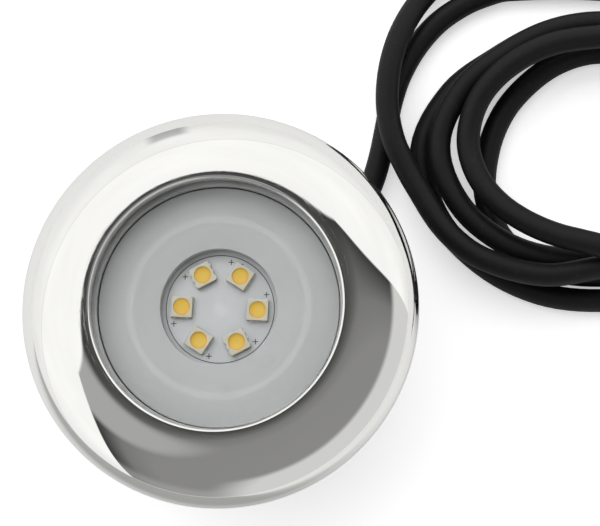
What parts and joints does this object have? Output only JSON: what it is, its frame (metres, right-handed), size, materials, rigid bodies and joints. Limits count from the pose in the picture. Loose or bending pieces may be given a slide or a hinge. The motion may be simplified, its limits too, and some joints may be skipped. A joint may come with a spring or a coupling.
{
  "type": "underwater pool light",
  "caption": "Round underwater pool light: domed steel bezel over a glass lens and LED board, threaded wall stem with lock nut, and a coiled rubber cable.",
  "frame": {"origin": "on the light's own axis, at the end of its stem, where it stands on a surface", "axes": "+Z along the light's axis, out of the lens; +X and +Y across it, with the cable leaving the stem between them"},
  "size_m": [0.2384, 0.151, 0.0617],
  "materials": {
    "polished_steel": "mirror-polished stainless steel",
    "screw_steel": "bright stainless steel",
    "black_plastic": "moulded glass-filled plastic, fine matt",
    "nut_plastic": "moulded plastic, fine matt",
    "black_rubber": "soft matt rubber",
    "cable_rubber": "smooth matt rubber sheath",
    "lens_glass": "clear polished glass",
    "grey_silicone": "grey silicone",
    "mask_grey": "satin grey",
    "board_white": "satin white solder mask on aluminium",
    "led_package": "cream moulded package",
    "led_phosphor": "yellow phosphor gel",
    "pad_grey": "grey thermal pad",
    "aluminium": "turned aluminium",
    "white_plastic": "white nylon",
    "board_green": "green solder mask",
    "part_black": "black epoxy package",
    "capacitor_sleeve": "blue shrink sleeve",
    "ferrite": "dark ferrite and varnished wire",
    "terminal_green": "green moulded plastic",
    "nickel_brass": "nickel-plated brass",
    "core_brown": "brown insulation",
    "core_blue": "blue insulation",
    "wire_red": "red insulation",
    "wire_black": "black insulation",
    "tinned_copper": "tinned copper"
  },
  "bodies": {
    "light": {"bezel": "polished_steel", "bezel_carrier": "black_plastic", "front_gasket": "black_rubber", "glass_lens": "lens_glass", "glass_seal": "grey_silicone", "mask_plate": "mask_grey", "led_board": "board_white", "thermal_pad": "pad_grey", "heat_spreader": "aluminium", "spacer_ring": "white_plastic", "led_wire_red": "wire_red", "led_wire_black": "wire_black", "driver_board": "board_green", "capacitor": "capacitor_sleeve", "inductor": "ferrite", "bridge_rectifier": "part_black", "driver_ic": "part_black", "terminal_block": "terminal_green", "housing": "black_plastic", "wall_gasket": "black_rubber", "gland_body": "nickel_brass", "gland_washer": "black_rubber", "gland_seal": "black_rubber", "gland_nut": "nickel_brass", "cable_end": "cable_rubber", "core_brown": "core_brown", "core_blue": "core_blue", "cable_lead": "cable_rubber", "cable_loop": "cable_rubber", "cable_coil": "cable_rubber", "cable_tail": "cable_rubber", "bare_core_brown": "core_brown", "bare_core_blue": "core_blue", "ferrule_brown": "tinned_copper", "ferrule_blue": "tinned_copper", "bezel_screw_1": "screw_steel", "bezel_screw_2": "screw_steel", "bezel_screw_3": "screw_steel", "bezel_screw_4": "screw_steel", "led_body_1": "led_package", "led_phosphor_1": "led_phosphor", "led_body_2": "led_package", "led_phosphor_2": "led_phosphor", "led_body_3": "led_package", "led_phosphor_3": "led_phosphor", "led_body_4": "led_package", "led_phosphor_4": "led_phosphor", "led_body_5": "led_package", "led_phosphor_5": "led_phosphor", "led_body_6": "led_package", "led_phosphor_6": "led_phosphor"},
    "slip_washer": {"slip_washer": "white_plastic"},
    "lock_nut": {"lock_nut": "nut_plastic"}
  },
  "joints": [
    {"name": "washer_slide", "type": "slide", "parent": "light", "child": "slip_washer", "axis": [0, 0, 1], "range_m": [-0.0155, 0.0072]},
    {"name": "nut_spin", "type": "hinge", "parent": "slip_washer", "child": "lock_nut", "pos_m": [0, 0, 0.035], "axis": [0, 0, 1], "range_deg": [-2340, 1080]}
  ],
  "couplings": [
    {"joint": "washer_slide", "follows": "nut_spin", "m_per_rad": 0.00036749}
  ]
}
